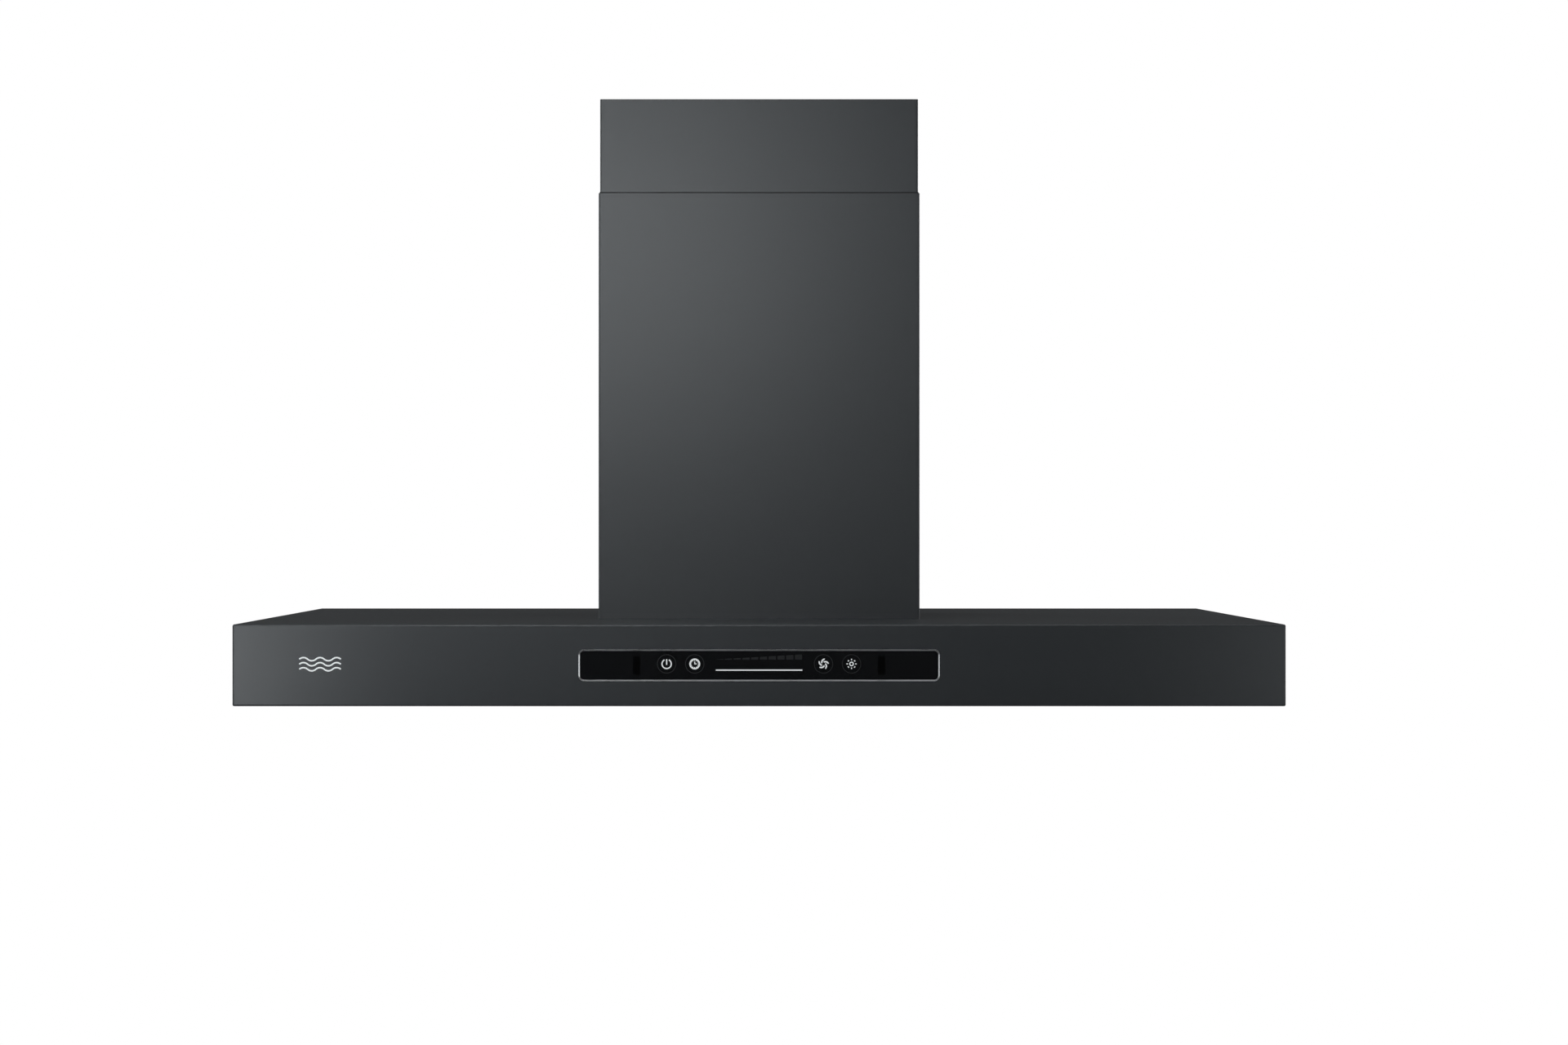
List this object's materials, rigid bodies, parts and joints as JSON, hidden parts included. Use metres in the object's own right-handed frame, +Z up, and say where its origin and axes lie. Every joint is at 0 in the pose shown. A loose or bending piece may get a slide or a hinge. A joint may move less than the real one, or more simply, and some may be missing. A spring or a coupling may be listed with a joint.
{
  "type": "island range hood",
  "caption": "T-shaped island range hood: flat canopy with front touch panel, recessed lamps and hinged baffle filters under a telescopic chimney cover with blower inside.",
  "frame": {"origin": "centre of the ceiling plate's top face, where it meets the ceiling", "axes": "+Z up towards the ceiling, +X along the long side, the control panel faces -Y"},
  "size_m": [0.9, 0.6, 0.54],
  "materials": {
    "hood_paint": "matt anthracite powder coat",
    "panel_glass": "black glass, glossy",
    "bezel_metal": "satin aluminium",
    "zinc_steel": "galvanised sheet",
    "filter_steel": "brushed stainless steel",
    "latch_metal": "satin stainless steel",
    "screw_steel": "zinc plated",
    "black_plastic": "black moulded plastic",
    "impeller_plastic": "dark grey moulded plastic",
    "lens": "frosted glass",
    "heat_sink": "cast aluminium",
    "board_green": "green circuit board",
    "board_white": "white light board",
    "cable_sheath": "flexible dark sheath",
    "can_white": "white plastic can",
    "print_ink": "white print of the panel's marks and the front sign",
    "windings": "copper windings on a laminated core",
    "motor_steel": "black lacquered steel",
    "shaft_steel": "ground steel"
  },
  "bodies": {
    "ceiling_frame": {"ceiling_plate": "zinc_steel", "upper_legs": "zinc_steel", "ceiling_screws": "screw_steel", "upper_chimney_cover": "hood_paint"},
    "hood": {"lower_chimney_cover": "hood_paint", "cover_screws": "screw_steel", "lower_legs": "zinc_steel", "leg_rivets": "screw_steel", "height_lock_bolts": "screw_steel", "air_box": "zinc_steel", "air_box_lid": "zinc_steel", "lid_strips": "zinc_steel", "air_box_screws": "screw_steel", "duct_collar": "black_plastic", "mains_gland": "black_plastic", "canopy_shell": "hood_paint", "underside_liner": "hood_paint", "liner_screws": "screw_steel", "control_bezel": "bezel_metal", "control_glass": "panel_glass", "control_carrier": "black_plastic", "touch_board": "board_green", "carrier_screws": "screw_steel", "lamp_bezels": "bezel_metal", "lamp_lenses": "lens", "lamp_housings": "heat_sink", "lamp_boards": "board_white", "lamp_clips": "screw_steel", "electronics_box": "black_plastic", "electronics_lid": "black_plastic", "power_board": "board_green", "control_cable": "cable_sheath", "motor_cable": "cable_sheath", "lamp_cables": "cable_sheath", "scroll_wrap": "zinc_steel", "scroll_front_plate": "zinc_steel", "scroll_rear_plate": "zinc_steel", "blower_screws": "screw_steel", "motor_housing": "motor_steel", "motor_stator": "windings", "motor_bearings": "shaft_steel", "motor_bracket": "zinc_steel", "capacitor": "can_white"},
    "rotor": {"impeller": "impeller_plastic", "motor_rotor": "motor_steel", "motor_shaft": "shaft_steel"},
    "damper_left": {"damper_left": "black_plastic"},
    "damper_right": {"damper_right": "black_plastic"},
    "filter_left": {"filter_frame_left": "filter_steel", "filter_baffles_left": "filter_steel", "latch_spring_left": "screw_steel"},
    "latch_left": {"filter_latch_left": "latch_metal"},
    "filter_middle": {"filter_frame_middle": "filter_steel", "filter_baffles_middle": "filter_steel", "latch_spring_middle": "screw_steel"},
    "latch_middle": {"filter_latch_middle": "latch_metal"},
    "filter_right": {"filter_frame_right": "filter_steel", "filter_baffles_right": "filter_steel", "latch_spring_right": "screw_steel"},
    "latch_right": {"filter_latch_right": "latch_metal"}
  },
  "joints": [
    {"name": "height_slide", "type": "slide", "parent": "ceiling_frame", "child": "hood", "axis": [0, 0, -1], "range_m": [0, 0.24]},
    {"name": "impeller_spin", "type": "hinge", "parent": "hood", "child": "rotor", "pos_m": [-0.018, 0, -0.344], "axis": [0, 1, 0], "continuous": true},
    {"name": "damper_left_flap", "type": "hinge", "parent": "hood", "child": "damper_left", "pos_m": [-0.005, 0, -0.182], "axis": [0, 1, 0], "range_deg": [0, 80]},
    {"name": "damper_right_flap", "type": "hinge", "parent": "hood", "child": "damper_right", "pos_m": [0.005, 0, -0.182], "axis": [0, -1, 0], "range_deg": [0, 80]},
    {"name": "filter_left_swing", "type": "hinge", "parent": "hood", "child": "filter_left", "pos_m": [-0.25067, 0.183, -0.526], "axis": [1, 0, 0], "range_deg": [0, 80]},
    {"name": "filter_middle_swing", "type": "hinge", "parent": "hood", "child": "filter_middle", "pos_m": [0, 0.183, -0.526], "axis": [1, 0, 0], "range_deg": [0, 80]},
    {"name": "filter_right_swing", "type": "hinge", "parent": "hood", "child": "filter_right", "pos_m": [0.25067, 0.183, -0.526], "axis": [1, 0, 0], "range_deg": [0, 80]},
    {"name": "latch_left_slide", "type": "slide", "parent": "filter_left", "child": "latch_left", "axis": [0, 1, 0], "range_m": [0, 0.006], "stiffness_N_per_m": 500, "springref_m": -0.004, "deforming": ["latch_spring_left"]},
    {"name": "latch_middle_slide", "type": "slide", "parent": "filter_middle", "child": "latch_middle", "axis": [0, 1, 0], "range_m": [0, 0.006], "stiffness_N_per_m": 500, "springref_m": -0.004, "deforming": ["latch_spring_middle"]},
    {"name": "latch_right_slide", "type": "slide", "parent": "filter_right", "child": "latch_right", "axis": [0, 1, 0], "range_m": [0, 0.006], "stiffness_N_per_m": 500, "springref_m": -0.004, "deforming": ["latch_spring_right"]}
  ]
}
